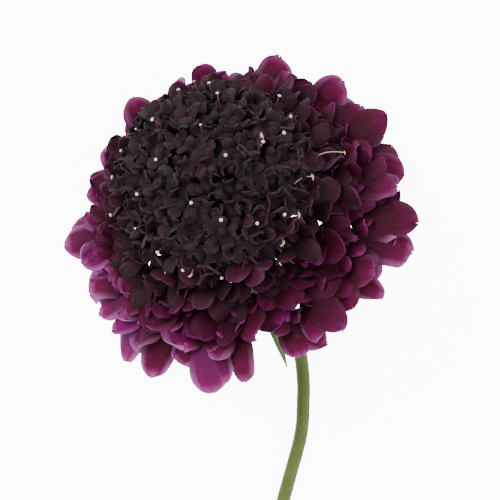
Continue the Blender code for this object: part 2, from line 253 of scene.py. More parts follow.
head_axis = (HEAD.to_3x3() @ Vector((0, 0, 1))).normalized()
stem_start = HEAD @ Vector((0, 0, STEM_TOP))
stem_below = stem_start - head_axis * STEM_STRAIGHT_TOP
stem_level = STEM_TOUCHDOWN + Vector((0, STEM_STRAIGHT_END, 0))
stem_line = []
for ring in range(STEM_BEND_RINGS):
    t = ring / STEM_BEND_RINGS
    stem_line.append(
        stem_start * (1 - t) ** 3
        + stem_below * 3 * t * (1 - t) ** 2
        + stem_level * 3 * t**2 * (1 - t)
        + STEM_TOUCHDOWN * t**3
    )
lying = [STEM_TOUCHDOWN] + [Vector((x, y, STEM_RADIUS)) for x, y in STEM_ROUTE]
stem_line += smooth_route(lying, STEM_RINGS_PER_SPAN)
stem_radii = []
passed = 0.0
for ring, spot in enumerate(stem_line):
    if ring:
        passed += (spot - stem_line[ring - 1]).length
    flare = max(0.0, 1 - passed / STEM_FLARE) ** 2
    radius = STEM_RADIUS + (STEM_TOP_RADIUS - STEM_RADIUS) * flare
    swell = STEM_SWELL * noise.noise(Vector((0, 0, passed * STEM_SWELLS_PER_METRE)))
    stem_radii.append(radius * (1 + swell) * STEM_SKIN_SHARE)

stem_material, kit = new_material("stem_skin")
along, _, _ = kit.marks()
stretched = kit.node("ShaderNodeMapping", {"Vector": kit.place(), "Scale": (900, 60, 900)}).outputs[0]
streaks = kit.cloud(stretched, 1.0, 4.0)
blotches = kit.ramp(kit.cloud(kit.place(), 260.0, 3.0), [(0.45, 0.0), (0.75, 0.35)])
green = kit.ramp(along, [
    (0.0, (0.07, 0.11, 0.012)),
    (0.10, (0.090, 0.125, 0.018)),
    (0.35, (0.095, 0.130, 0.018)),
    (1.0, (0.090, 0.125, 0.017)),
])
green = kit.mixed(kit.maths("MULTIPLY", streaks, 0.55), green, (0.055, 0.085, 0.010))
green = kit.mixed(blotches, green, (0.17, 0.20, 0.055))
kit.shade({
    "Base Color": green,
    "Roughness": 0.48,
    "Subsurface Weight": 0.25,
    "Subsurface Radius": (0.6, 1.0, 0.2),
    "Subsurface Scale": 0.0006,
    "Specular IOR Level": 0.3,
})
kit.bump(streaks, 0.35, 0.0001)

stem = Build()
tube_mesh(stem, stem_line, stem_radii, STEM_SIDES, 0.5, Vector((1, 0, 0)), STEM_RIB_DEPTH, STEM_RIBS)
stem.finish("stem_skin", "stem", stem_material, "stem")

hair_material, kit = new_material("stem_hair")
kit.shade({"Base Color": (0.22, 0.25, 0.10), "Roughness": 0.6})

hairs = Build()
for _ in range(STEM_HAIRS):
    ring = stem_rng.randrange(2, len(stem_line) - 2)
    along = (stem_line[ring + 1] - stem_line[ring - 1]).normalized()
    side = along.orthogonal().normalized()
    side.rotate(Matrix.Rotation(stem_rng.uniform(0, 2 * math.pi), 3, along))
    foot = stem_line[ring].lerp(stem_line[ring + 1], stem_rng.random())
    foot += side * stem_radii[ring] * STEM_HAIR_SEAT
    lean = (side + along * stem_rng.uniform(-0.5, 0.3)).normalized()
    tip = foot + lean * STEM_HAIR_LENGTH * stem_rng.uniform(0.4, 1.0)
    if tip.z < STEM_HAIR_LOWEST:
        continue
    wide = along.cross(side).normalized() * STEM_HAIR_HALF_WIDTH
    thick = along * STEM_HAIR_HALF_WIDTH
    hairs.add([foot - wide - thick, foot + wide - thick, foot + thick, tip],
              [(0, 1, 3), (1, 2, 3), (2, 0, 3), (2, 1, 0)], [(0.0, 0.0, 0.5)] * 4)
hairs.finish("stem_hairs", "stem", hair_material)


# Involucral bracts
# One whorl of narrow, pointed green leaves that grows out under the head, with a paler midrib.
# One of them is longer than the rest, and its tip shows past the petals.

BRACT_CUSHION = (
    # height and radius
    (-0.0016, 0.0027),
    (-0.0010, 0.0037),
    (-0.0002, 0.0041),
    (0.0005, 0.0036),
)
BRACT_COUNT = 11
BRACT_ROOT_RADIUS = 0.0025
BRACT_ROOT_HEIGHT = -0.0005
BRACT_RISE = math.radians(-20)
BRACT_CURL = math.radians(-16)
BRACT_LENGTH = 0.0120
BRACT_WIDTH = 0.0026
BRACT_THICKNESS = 0.0003
LONG_BRACT_AZIMUTH = math.radians(285)
LONG_BRACT_LENGTH = 0.0234
LONG_BRACT_WIDTH = BRACT_WIDTH * 1.3

PETAL_THICKNESS = 0.00018
# A lobe's rows lie closer together towards its tip, and it curls a little more there.
ROW_EASE = 0.9
CURL_GROWTH = 1.15
# It has this share of its bow at its root, and all of it two thirds of the way along.
BOW_AT_ROOT = 0.35
BOW_TURN = 0.75
# Its two edges wave out of step, and the waves die out inwards.
EDGE_SHIFT = 1.7
EDGE_POWER = 2.5
# Its tip waves too, across the width, and is notched.
TIP_WAVE = 0.4
TIP_WAVE_TURN = 2.4
TIP_WAVE_POWER = 5
NOTCH_TURN = 2.6
NOTCH_POWER = 8
# A lobe that reaches the table lies on it: its two faces stop at these heights.
UPPER_FACE_LOWEST = 0.00002
UNDER_FACE_LOWEST = 0.00012

bract_rng = random.Random(14)


def polar(radius, azimuth, height):
    """A point of the head, by its distance from the axis, its azimuth and its height along the axis."""
    return Vector((radius * math.cos(azimuth), radius * math.sin(azimuth), height))


def turned(build, place, profile, sides, tint):
    """A round body on the +Z axis of this place, from pairs of a height and a radius."""
    line = [place @ Vector((0, 0, height)) for height, _ in profile]
    tube_mesh(build, line, [radius for _, radius in profile], sides, tint)


def leaf_share(u):
    """The width of a pointed leaf at this share of its length."""
    return max(0.02, (0.62 + 0.38 * math.sin(math.pi * min(u / 0.8, 1.0))) * (1 - u**4.5))


def petal_share(u, neck=0.20, widest=0.62):
    """The width of a round-ended lobe at this share of its length."""
    if u < widest:
        t = u / widest
        return neck + (1 - neck) * (t * t * (3 - 2 * t)) ** 0.7
    return max(0.02, 1 - ((u - widest) / (1 - widest)) ** 2.7) ** 0.5


def sheet_faces(rows, columns):
    """The faces of a thin closed sheet: its upper grid of points, its under one, and the rim between them."""
    count = columns + 1
    under = (rows + 1) * count
    faces = []
    for row in range(rows):
        for column in range(columns):
            a = row * count + column
            faces.append((a, a + 1, a + count + 1, a + count)[::-1])
            faces.append((under + a, under + a + 1, under + a + count + 1, under + a + count))
    rim = list(range(count))
    rim += [row * count + columns for row in range(1, rows + 1)]
    rim += [rows * count + column for column in range(columns - 1, -1, -1)]
    rim += [row * count for row in range(rows - 1, 0, -1)]
    for a, b in zip(rim, rim[1:] + rim[:1]):
        faces.append((a, b, b + under, a + under)[::-1])
    return faces


def lobe(build, place, start, azimuth, rise, curl, length, width, *, bow, frill, phase, tint, rows, columns,
         share=petal_share, roll=0.0, twist=0.0, waves=3.0, notch=0.0, thickness=PETAL_THICKNESS):
    """A thin curved lobe: it leaves start at this azimuth and rise and bends by curl on its way to the tip.

    bow is how far it curves round its length, frill is the height of the waves along its edges, waves and
    phase place them, and notch is the depth of the cuts in its tip, as a share of its length.
    """
    middle, normals = [], []
    point = start.copy()
    before = 0.0
    for row in range(rows + 1):
        u = math.sin(0.5 * math.pi * row / rows) ** ROW_EASE
        lean = rise + curl * (0.5 * (u + before)) ** CURL_GROWTH
        point = point + polar(math.cos(lean), azimuth, math.sin(lean)) * (u - before) * length
        before = u
        lean = rise + curl * u**CURL_GROWTH
        along = polar(math.cos(lean), azimuth, math.sin(lean))
        level = Vector((-math.sin(azimuth), math.cos(azimuth), 0))
        side = Matrix.Rotation(roll + twist * u, 3, along) @ level
        above = along.cross(side)
        half = share(u) * width / 2
        arc = bow * (BOW_AT_ROOT + (1 - BOW_AT_ROOT) * math.sin(math.pi * BOW_TURN * u))
        for column in range(columns + 1):
            v = 2 * column / columns - 1
            angle = v * arc
            reach = math.sin(angle) / arc
            drop = (1 - math.cos(angle)) / arc
            turn = waves * math.pi * u + EDGE_SHIFT * math.copysign(1, v) + phase
            wave = math.sin(turn) * abs(v) ** EDGE_POWER * u
            wave += TIP_WAVE * math.sin(TIP_WAVE_TURN * v * math.pi + phase) * u**TIP_WAVE_POWER
            cut = notch * math.cos(NOTCH_TURN * v * math.pi + phase) * u**NOTCH_POWER
            middle.append(point + side * reach * half - above * drop * half + above * wave * frill
                          - along * cut * length)
    count = columns + 1
    for row in range(rows + 1):
        ahead_row, back_row = min(row + 1, rows) * count, max(row - 1, 0) * count
        for column in range(count):
            ahead = middle[ahead_row + column] - middle[back_row + column]
            beside = middle[row * count + min(column + 1, columns)] - middle[row * count + max(column - 1, 0)]
            normals.append(ahead.cross(beside).normalized())
    points = []
    for face, lowest in ((1, UPPER_FACE_LOWEST), (-1, UNDER_FACE_LOWEST)):
        for spot, normal in zip(middle, normals):
            placed = place @ (spot + face * normal * thickness / 2)
            placed.z = max(placed.z, lowest)
            points.append(placed)
    marks = [(row / rows, column / columns, tint) for row in range(rows + 1) for column in range(count)]
    build.add(points, sheet_faces(rows, columns), marks * 2)


bract_material, kit = new_material("bract_leaf")
along, across, _ = kit.marks()
mottle = kit.cloud(kit.place(), 700.0, 4.0)
off_middle = kit.maths("ABSOLUTE", kit.maths("SUBTRACT", across, 0.5))
midrib = kit.ramp(off_middle, [(0.02, 0.7), (0.09, 0.0)])
green = kit.ramp(along, [(0.0, (0.20, 0.27, 0.08)), (0.5, (0.12, 0.20, 0.045)), (1.0, (0.10, 0.15, 0.05))])
green = kit.mixed(kit.maths("MULTIPLY", mottle, 0.5), green, (0.05, 0.10, 0.02))
green = kit.mixed(midrib, green, (0.34, 0.42, 0.16))
kit.shade({"Base Color": green, "Roughness": 0.55, "Sheen Weight": 0.3})
kit.bump(kit.maths("ADD", mottle, off_middle), 0.4, 0.0002)

bracts = Build()
turned(bracts, HEAD, BRACT_CUSHION, 36, 0.5)
for k in range(BRACT_COUNT):
    azimuth = LONG_BRACT_AZIMUTH + 2 * math.pi * k / BRACT_COUNT
    length = BRACT_LENGTH * bract_rng.uniform(0.85, 1.15) if k else LONG_BRACT_LENGTH
    width = BRACT_WIDTH if k else LONG_BRACT_WIDTH
    lobe(bracts, HEAD, polar(BRACT_ROOT_RADIUS, azimuth, BRACT_ROOT_HEIGHT), azimuth, BRACT_RISE, BRACT_CURL,
         length, width, share=leaf_share, bow=0.5, frill=0.0001, thickness=BRACT_THICKNESS,
         phase=bract_rng.uniform(0, 6), tint=bract_rng.random(), rows=16, columns=6)
bracts.finish("bract_whorl", "bract", bract_material, "bracts")


# Ray florets
# The broad magenta florets of the rim. Each is one slender tube that opens into three large outer lobes and
# two small inner ones, thin and veined, dark at the throat and pale at the edge. They grow out of the hub.

RAY_HUB = (
    # height and radius
    (0.0010, 0.0062),
    (0.0018, 0.0080),
    (0.0030, 0.0086),
    (0.0044, 0.0080),
)
# A tube grows out of the hub at this radius, and at this share of its mouth's height plus the lift.
RAY_ROOT_RADIUS = 0.00704
RAY_ROOT_SHARE = 0.6
RAY_ROOT_LIFT = 0.0012
RAY_TUBE = (
    # share of the way from the root to the mouth, and radius
    (0.0, 0.0006),
    (0.25, 0.0006),
    (0.5, 0.0007),
    (0.75, 0.0009),
    (1.0, 0.0012),
    (1.12, 0.0014),
)
RAY_FLORETS = (
    # azimuth in degrees, and how pale the petals are, from 0 to 1
    (178, 1.00),
    (205, 0.95),
    (232, 1.00),
    (262, 0.85),
    (298, 0.50),
    (325, 0.45),
    (341, 0.60),
    (352, 0.35),
    (14, 0.25),
    (37, 0.45),
    (62, 0.45),
    (90, 0.60),
    (120, 0.80),
    (150, 0.95),
)
RAY_ROWS = (
    # name, mouth radius and height, rise, curl, lobe length and width, turn of the row in degrees, extra curl
    # on the side that lies on the table, and how much of the florets' paleness the row has
    ("outer", 0.0199, 0.0012, math.radians(3), math.radians(-50), 0.0094, 0.0064, 0.0, 0.62, 1.0),
    ("second", 0.0187, 0.0024, math.radians(7), math.radians(-45), 0.0092, 0.0061, 14.0, -0.7, 0.80),
    ("third", 0.0166, 0.0036, math.radians(11), math.radians(-42), 0.0078, 0.0055, 21.0, -0.7, 0.30),
    ("inner", 0.0155, 0.0044, math.radians(14), math.radians(-36), 0.0074, 0.0052, 6.0, -0.7, 0.18),
)
# A row that curls less on the table's side rises there by this angle, times the share of curl it loses.
RAY_LIFT = 0.40
# The photo's gaps: missing florets, by row and azimuth, and missing lobes, with their number as well.
RAY_MISSING = (("second", 325), ("third", 325), ("inner", 341), ("second", 341), ("third", 341))
RAY_LOST_LOBES = (("second", 262, 2), ("outer", 298, 0))
# The florets' mouths lie further out on this side of the head, and nearer on the other, by this share.
LONG_SIDE = math.radians(280)
LONG_SIDE_GAIN = 0.08
RAY_SPREAD = math.radians(38)
RAY_SIDE_LOBE_SIZE = 0.9
RAY_NECK = 0.34
RAY_WIDEST = 0.58
RAY_BOWS = (-0.4, 0.25, 0.4, 0.5, 0.7, 0.95)
INNER_LOBE_SPREAD = 0.8
INNER_LOBE_LENGTH = 0.42
INNER_LOBE_WIDTH = 0.50
# The inner lobes leave the tube this much further out and up than its mouth.
INNER_LOBE_OUT = 0.0006
INNER_LOBE_UP = 0.0005
SHEEN_TINT = (0.95, 0.70, 0.88)

ray_rng = random.Random(11)


def petal_material(name, *, stops, pale, pale_reach, vein, translucency, dark, light, sheen, specular):
    """Petal tissue: colour along the lobe, a pale edge, fine veins that fan out, and light shining through.

    The edge turns pale from pale_reach of the length on, more so on the points with a high tint. These
    also turn towards light, while those with a low tint, the veins and the grain turn towards dark.
    On the disc florets the pale edge is a painted highlight: the grey sheen of their rims, painted as colour.
    """
    material, kit = new_material(name)
    along, across, tint = kit.marks()
    blotches = kit.cloud(kit.place(), 420.0, 4.0)
    grain = kit.cloud(kit.place(), 3600.0, 3.0)
    fan = kit.node("ShaderNodeCombineXYZ", {
        0: kit.maths("MULTIPLY", across, 34.0),
        1: kit.maths("MULTIPLY", along, 2.5),
        2: kit.maths("MULTIPLY", tint, 60.0),
    }).outputs[0]
    veins = kit.ramp(kit.cloud(fan, 1.0, 3.0), [(0.46, 0.0), (0.62, 1.0)])

    off_middle = kit.maths("MULTIPLY", kit.maths("ABSOLUTE", kit.maths("SUBTRACT", across, 0.5)), 2.0)
    beside = kit.ramp(off_middle, [(0.55, 0.0), (1.0, 1.0)])
    past_throat = kit.ramp(along, [(0.2, 0.0), (0.6, 1.0)])
    tip = kit.ramp(along, [(pale_reach, 0.0), (1.0, 1.0)])
    edge = kit.maths("MAXIMUM", kit.maths("MULTIPLY", beside, past_throat), tip)
    edge = kit.maths("MULTIPLY", edge, kit.maths("POWER", tint, 1.4))

    blotched = kit.maths("MULTIPLY", kit.maths("SUBTRACT", blotches, 0.5), 0.5)
    color = kit.ramp(kit.maths("ADD", along, blotched), stops)
    # Mixes in the pale edge; on the disc florets it is a painted highlight, the grey sheen of their rims.
    color = kit.mixed(edge, color, pale)
    color = kit.mixed(kit.ramp(tint, [(0.0, 0.75), (0.45, 0.0)]), color, dark)
    color = kit.mixed(kit.ramp(tint, [(0.75, 0.0), (1.0, 0.35)]), color, light)
    color = kit.mixed(kit.maths("MULTIPLY", veins, vein), color, dark)
    color = kit.mixed(kit.maths("MULTIPLY", grain, 0.25), color, dark)
    kit.shade({
        "Base Color": color,
        "Roughness": 0.6,
        "Specular IOR Level": specular,
        "Sheen Weight": sheen,
        "Sheen Roughness": 0.35,
        "Sheen Tint": SHEEN_TINT,
    })
    kit.bump(kit.maths("ADD", kit.maths("MULTIPLY", veins, 0.8), grain), 0.45, 0.00008)
    glow = kit.node("ShaderNodeBsdfTranslucent", {"Color": color})
    both = kit.node("ShaderNodeMixShader", {0: translucency, 1: kit.shader.outputs[0], 2: glow.outputs[0]})
    kit.feed(kit.tree.nodes["Material Output"].inputs["Surface"], both.outputs[0])
    return material


def floret_tube(build, root, mouth, profile, tint):
    """A floret's slender tube, from pairs of a share of the way from its root to its mouth and a radius."""
    line = [HEAD @ root.lerp(mouth, share) for share, _ in profile]
    tube_mesh(build, line, [radius for _, radius in profile], 10, tint)


def ray_share(u):
    """The width of a ray floret's outer lobe at this share of its length."""
    return petal_share(u, RAY_NECK, RAY_WIDEST)


ray_material = petal_material(
    "ray_petal",
    stops=[
        (0.0, (0.06, 0.022, 0.016)),
        (0.14, (0.036, 0.002, 0.010)),
        (0.40, (0.085, 0.002, 0.024)),
        (0.72, (0.24, 0.0016, 0.095)),
        (1.0, (0.46, 0.014, 0.32)),
    ],
    pale=(0.92, 0.36, 0.86),
    pale_reach=0.64,
    vein=0.30,
    translucency=0.36,
    dark=(0.040, 0.003, 0.014),
    light=(0.58, 0.022, 0.42),
    sheen=0.06,
    specular=0.15,
)

rays = Build()
turned(rays, HEAD, RAY_HUB, 40, 0.2)
for row_name, mouth_radius, mouth_height, rise, curl, length, width, turn, extra_curl, paleness in RAY_ROWS:
    for degrees, pale in RAY_FLORETS:
        if (row_name, degrees) in RAY_MISSING:
            continue
        azimuth = math.radians(degrees + turn)
        facing_table = max(0.0, math.cos(azimuth - HEAD_LEAN))
        droop = curl * (1 + extra_curl * facing_table)
        lifted = rise - RAY_LIFT * min(0.0, extra_curl) * facing_table
        gain = 1 + LONG_SIDE_GAIN * math.cos(azimuth - LONG_SIDE)
        root = polar(RAY_ROOT_RADIUS, azimuth, mouth_height * RAY_ROOT_SHARE + RAY_ROOT_LIFT)
        mouth = polar(mouth_radius * gain, azimuth, mouth_height)
        floret_tube(rays, root, mouth, RAY_TUBE, 0.2)
        tint = pale * paleness
        for number, spread in enumerate((-RAY_SPREAD, 0.0, RAY_SPREAD)):
            if (row_name, degrees, number) in RAY_LOST_LOBES:
                continue
            size = ray_rng.uniform(0.84, 1.12) * (1.0 if number == 1 else RAY_SIDE_LOBE_SIZE)
            shape = ray_rng.uniform(0.88, 1.12)
            lobe(rays, HEAD, mouth, azimuth + spread + ray_rng.uniform(-0.2, 0.2),
                 lifted + ray_rng.uniform(-0.15, 0.30), droop * ray_rng.uniform(0.3, 1.2),
                 length * size * shape, width * size / shape, share=ray_share,
                 roll=ray_rng.uniform(-0.5, 0.5) - 0.2 * (number - 1), twist=ray_rng.uniform(-0.5, 0.5),
                 bow=ray_rng.choice(RAY_BOWS), frill=ray_rng.uniform(0.0003, 0.0010),
                 waves=ray_rng.uniform(1.5, 4.0), notch=ray_rng.uniform(0.0, 0.025),
                 phase=ray_rng.uniform(0, 6.3), tint=min(1.0, max(0.0, tint + ray_rng.uniform(-0.25, 0.20))),
                 rows=15, columns=11)
        throat = mouth + polar(INNER_LOBE_OUT, azimuth, INNER_LOBE_UP)
        for spread in (-INNER_LOBE_SPREAD, INNER_LOBE_SPREAD):
            lobe(rays, HEAD, throat, azimuth + spread, lifted + ray_rng.uniform(0.4, 0.9),
                 ray_rng.uniform(-0.9, 0.2), length * INNER_LOBE_LENGTH, width * INNER_LOBE_WIDTH,
                 bow=ray_rng.uniform(0.5, 1.2), frill=0.0002, notch=0.02, phase=ray_rng.uniform(0, 6.3),
                 tint=tint * 0.5, rows=9, columns=7)
rays.finish("ray_petals", "ray_petal", ray_material, "ray_florets")


# Disc florets
# The dome of small dark florets: each is a tube that flares into five blunt, velvety lobes, and grows out of
# the core. Those at the dome's edge are dark crimson, with longer lobes on their outer side.

DOME_CENTRE_HEIGHT = 0.0105
DOME_MOUTH_RADIUS = 0.0148
DOME_MOUTH_RISE = 0.0122
CORE_RADIUS = 0.0128
CORE_RISE = 0.0099
CORE_FOOT = (
    # height, and share of the core's radius
    (0.0050, 0.72),
    (0.0062, 0.90),
)
CORE_RINGS = 9
CORE_FIRST_ANGLE = 94
CORE_RING_STEP = 11.2
DISC_FLORETS = 100
# The florets and the buds are spread over this much of the dome's height.
DISC_REACH = 1.02
BUD_REACH = 0.66
# Each floret leans by up to this, and stands up to this much higher or lower than the dome.
DISC_WOBBLE = 0.30
DISC_DEPTH = 0.0008
# How large a floret is at the top of the dome, and how much larger at its edge.
DISC_SIZE = 0.66
DISC_SIZE_GAIN = 0.36
DISC_TUBE = (
    # height from the mouth, and radius
    (-0.0050, 0.0006),
    (-0.0030, 0.0007),
    (-0.0012, 0.0009),
    (-0.0002, 0.0012),
)
DISC_LOBES = 5
DISC_LOBE_LENGTH = 0.0029
DISC_LOBE_WIDTH = 0.0027
DISC_LOBE_THICKNESS = 0.00022
DISC_LOBE_ROOT_RADIUS = 0.0009
DISC_LOBE_ROOT_HEIGHT = -0.0006
DISC_NECK = 0.55
DISC_WIDEST = 0.58
BUDS = 80
BUD_START = 1.3
BUD_RADIUS = 0.00088
BUD_HEIGHT = 0.0021
BUD_SIDES = 15
BUD_RINGS = 9
BUD_CREASE = 0.13
EDGE_ROWS = (
    # mouth radius and height, rise
    (0.0170, 0.0058, math.radians(6)),
    (0.0158, 0.0078, math.radians(22)),
    (0.0148, 0.0102, math.radians(38)),
)
EDGE_FLORETS = 14
# The first row has no floret this near to these azimuths, where the photo shows gaps.
EDGE_GAPS = (math.radians(341), math.radians(317))
EDGE_GAP_HALF = 0.16
# A tube grows out of the core at this radius, and at this share of its mouth's height plus the lift.
EDGE_ROOT_RADIUS = 0.00896
EDGE_ROOT_SHARE = 0.8
EDGE_ROOT_LIFT = 0.0016
EDGE_TUBE = (
    # share of the way from the root to the mouth, and radius
    (0.0, 0.0006),
    (0.4, 0.0007),
    (0.8, 0.0010),
    (1.1, 0.0013),
)
EDGE_LOBE_LENGTH = 0.0056
EDGE_LOBE_WIDTH = 0.0040
EDGE_SPREADS = (-0.95, -0.1, 0.85)
EDGE_INNER_SPREADS = (-1.2, 1.2)
EDGE_INNER_SIZE = 0.0026
EDGE_INNER_UP = 0.0005
EDGE_INNER_RISE = math.radians(65)
GOLDEN_ANGLE = math.pi * (3 - math.sqrt(5))

disc_rng = random.Random(21)


def dome_spot(angle, azimuth, radius, rise):
    """A point and the outward direction on the dome, at this angle from its top."""
    point = polar(radius * math.sin(angle), azimuth, DOME_CENTRE_HEIGHT + rise * math.cos(angle))
    outward = polar(math.sin(angle) / radius, azimuth, math.cos(angle) / rise).normalized()
    return point, outward


def standing(point, direction):
    """A matrix that puts +Z along the direction, with its origin at the point."""
    return Matrix.Translation(point) @ direction.to_track_quat("Z", "Y").to_matrix().to_4x4()


def wobble(rng, size):
    """A random direction to lean in, up to this size along each axis."""
    return Vector((rng.uniform(-1, 1), rng.uniform(-1, 1), rng.uniform(-1, 1))) * size


def disc_share(u):
    """The width of a disc floret's lobe at this share of its length."""
    return petal_share(u, DISC_NECK, DISC_WIDEST)


def bud_mesh(build, place, radius, height, tint):
    """An unopened floret: a closed, five-creased bud on a short neck."""
    points, marks = [], []
    for ring in range(BUD_RINGS):
        t = ring / (BUD_RINGS - 1)
        swell = math.sin(math.pi * min(0.97, 0.16 + 0.84 * t)) ** 0.7
        for side in range(BUD_SIDES):
            angle = 2 * math.pi * side / BUD_SIDES
            crease = 1 - BUD_CREASE * abs(math.cos(2.5 * angle)) ** 6 * t
            reach = radius * swell * crease
            spot = Vector((reach * math.cos(angle), reach * math.sin(angle), height * (t - 0.35)))
            points.append(place @ spot)
            marks.append((0.35 + 0.6 * t, side / BUD_SIDES, tint))
    build.add(points, ring_faces(BUD_RINGS, BUD_SIDES), marks)


disc_material = petal_material(
    "disc_petal",
    stops=[
        (0.0, (0.048, 0.020, 0.030)),
        (0.35, (0.044, 0.013, 0.022)),
        (0.7, (0.033, 0.016, 0.023)),
        (1.0, (0.031, 0.019, 0.026)),
    ],
    # A painted highlight: the grey velvet sheen on the lobes' rims, painted as a pale edge.
    pale=(0.062, 0.038, 0.051),
    pale_reach=0.88,
    vein=0.15,
    translucency=0.34,
    dark=(0.027, 0.018, 0.023),
    light=(0.110, 0.006, 0.032),
    sheen=0.12,
    specular=0.2,
)
edge_material = petal_material(
    "edge_petal",
    stops=[
        (0.0, (0.034, 0.016, 0.016)),
        (0.3, (0.034, 0.006, 0.014)),
        (0.7, (0.056, 0.006, 0.022)),
        (1.0, (0.090, 0.006, 0.036)),
    ],
    pale=(0.22, 0.05, 0.16),
    pale_reach=0.86,
    vein=0.25,
    translucency=0.34,
    dark=(0.026, 0.008, 0.014),
    light=(0.14, 0.002, 0.040),
    sheen=0.10,
    specular=0.18,
)

discs = Build()
core = [(height, CORE_RADIUS * share) for height, share in CORE_FOOT]
for step in range(CORE_RINGS):
    angle = math.radians(CORE_FIRST_ANGLE - CORE_RING_STEP * step)
    core.append((DOME_CENTRE_HEIGHT + CORE_RISE * math.cos(angle), CORE_RADIUS * math.sin(angle)))
turned(discs, HEAD, core, 40, 0.0)
for k in range(DISC_FLORETS):
    share = (k + 0.5) / DISC_FLORETS
    angle = math.acos(1 - share * DISC_REACH)
    mouth, outward = dome_spot(angle, k * GOLDEN_ANGLE, DOME_MOUTH_RADIUS, DOME_MOUTH_RISE)
    outward = (outward + wobble(disc_rng, DISC_WOBBLE)).normalized()
    mouth = mouth + outward * disc_rng.uniform(-DISC_DEPTH, DISC_DEPTH)
    place = HEAD @ standing(mouth, outward)
    turned(discs, place, DISC_TUBE, 8, 0.1)
    spin = disc_rng.uniform(0, 2 * math.pi)
    tint = min(1.0, disc_rng.uniform(0.1, 0.8) + 0.4 * share**2)
    size = (DISC_SIZE + DISC_SIZE_GAIN * share**0.6) * disc_rng.uniform(0.9, 1.12)
    for number in range(DISC_LOBES):
        heading = spin + 2 * math.pi * number / DISC_LOBES + disc_rng.uniform(-0.15, 0.15)
        lobe(discs, place, polar(DISC_LOBE_ROOT_RADIUS, heading, DISC_LOBE_ROOT_HEIGHT), heading,
             math.radians(disc_rng.uniform(22, 74)), math.radians(disc_rng.uniform(-60, 75)),
             DISC_LOBE_LENGTH * size, DISC_LOBE_WIDTH * size, share=disc_share,
             bow=disc_rng.uniform(0.3, 1.2), roll=disc_rng.uniform(-0.3, 0.3), frill=0.00014, notch=0.010,
             waves=2.0, phase=disc_rng.uniform(0, 6.3), tint=min(1.0, tint + disc_rng.uniform(-0.2, 0.2)),
             rows=8, columns=7, thickness=DISC_LOBE_THICKNESS)
for k in range(BUDS):
    share = (k + 0.5) / BUDS
    angle = math.acos(1 - share * BUD_REACH)
    spot, outward = dome_spot(angle, BUD_START + k * GOLDEN_ANGLE, DOME_MOUTH_RADIUS, DOME_MOUTH_RISE)
    spot = spot - outward * disc_rng.uniform(-0.0006, 0.0010)
    size = disc_rng.uniform(0.75, 1.1)
    bud_mesh(discs, HEAD @ standing(spot, outward), BUD_RADIUS * size, BUD_HEIGHT * size,
             disc_rng.uniform(0.3, 1.0))
discs.finish("disc_petals", "disc_petal", disc_material, "disc_florets")

edges = Build()
for row, (mouth_radius, mouth_height, rise) in enumerate(EDGE_ROWS):
    for k in range(EDGE_FLORETS):
        azimuth = 2 * math.pi * (k + row / 3 + disc_rng.uniform(-0.2, 0.2)) / EDGE_FLORETS
        gap_distance = min(abs((azimuth - gap + math.pi) % (2 * math.pi) - math.pi) for gap in EDGE_GAPS)
        if row == 0 and gap_distance < EDGE_GAP_HALF:
            continue
        mouth = polar(mouth_radius, azimuth, mouth_height)
        root = polar(EDGE_ROOT_RADIUS, azimuth, mouth_height * EDGE_ROOT_SHARE + EDGE_ROOT_LIFT)
        floret_tube(edges, root, mouth, EDGE_TUBE, 0.1)
        tint = disc_rng.random()
        for spread in EDGE_SPREADS:
            size = disc_rng.uniform(0.75, 1.15)
            lobe(edges, HEAD, mouth, azimuth + spread + disc_rng.uniform(-0.3, 0.3),
                 rise + disc_rng.uniform(-0.25, 0.5), math.radians(disc_rng.uniform(-60, 25)),
                 EDGE_LOBE_LENGTH * size, EDGE_LOBE_WIDTH * size, bow=disc_rng.uniform(0.3, 1.4),
                 roll=disc_rng.uniform(-0.7, 0.7), frill=disc_rng.uniform(0.0001, 0.0005), notch=0.02,
                 twist=disc_rng.uniform(-0.7, 0.7), phase=disc_rng.uniform(0, 6.3),
                 tint=min(1.0, max(0.0, tint + disc_rng.uniform(-0.25, 0.25))), rows=13, columns=9)
        throat = mouth + Vector((0, 0, EDGE_INNER_UP))
        for spread in EDGE_INNER_SPREADS:
            lobe(edges, HEAD, throat, azimuth + spread, EDGE_INNER_RISE,
                 math.radians(disc_rng.uniform(-40, 40)), EDGE_INNER_SIZE, EDGE_INNER_SIZE, bow=0.8,
                 frill=0.0001, notch=0.01, phase=disc_rng.uniform(0, 6.3), tint=tint * 0.8, rows=8, columns=7)
edges.finish("edge_petals", "disc_petal", edge_material)


# Stigmas and stamens
# Each open disc floret sends up one thin pale style with a round cream stigma, like a pin. A few stamens
# are left: a pale thread from the throat of a floret, with a long curved anther across its end.

STIGMA_COUNT = 30
STIGMA_REACH = 1.05
STIGMA_START = 0.9
# They turn by a little more than the golden angle, so that they don't follow the florets' own spiral.
STIGMA_TURN = 1.07
STIGMA_WOBBLE = 0.25
STIGMA_HEAD_RADIUS = 0.00029
STIGMA_SIZES = (0.6, 0.9, 1.0, 1.0)
STIGMA_RINGS = 7
STYLE_ROOT = -0.0020
STYLE_RADIUS = 0.00009
STYLE_WAIST = 0.00008
STAMENS = (
    # angle from the dome's top, azimuth, lean, height of the thread, length and radius of the anther
    (44, 16, -90, 0.0012, 0.0024, 0.00028),
    (78, 330, 40, 0.0030, 0.0014, 0.00018),
    (84, 318, -30, 0.0026, 0.0012, 0.00016),
    (80, 262, 20, 0.0022, 0.0014, 0.00018),
    (84, 248, -40, 0.0020, 0.0012, 0.00016),
    (76, 350, 60, 0.0034, 0.0010, 0.00014),
    (86, 6, 20, 0.0070, 0.0006, 0.00010),
)
THREAD_RINGS = 9
THREAD_RADIUS = 0.00010
THREAD_TAPER = 0.000004
ANTHER_RINGS = 11
ANTHER_BEND = 1.9

pin_rng = random.Random(5)

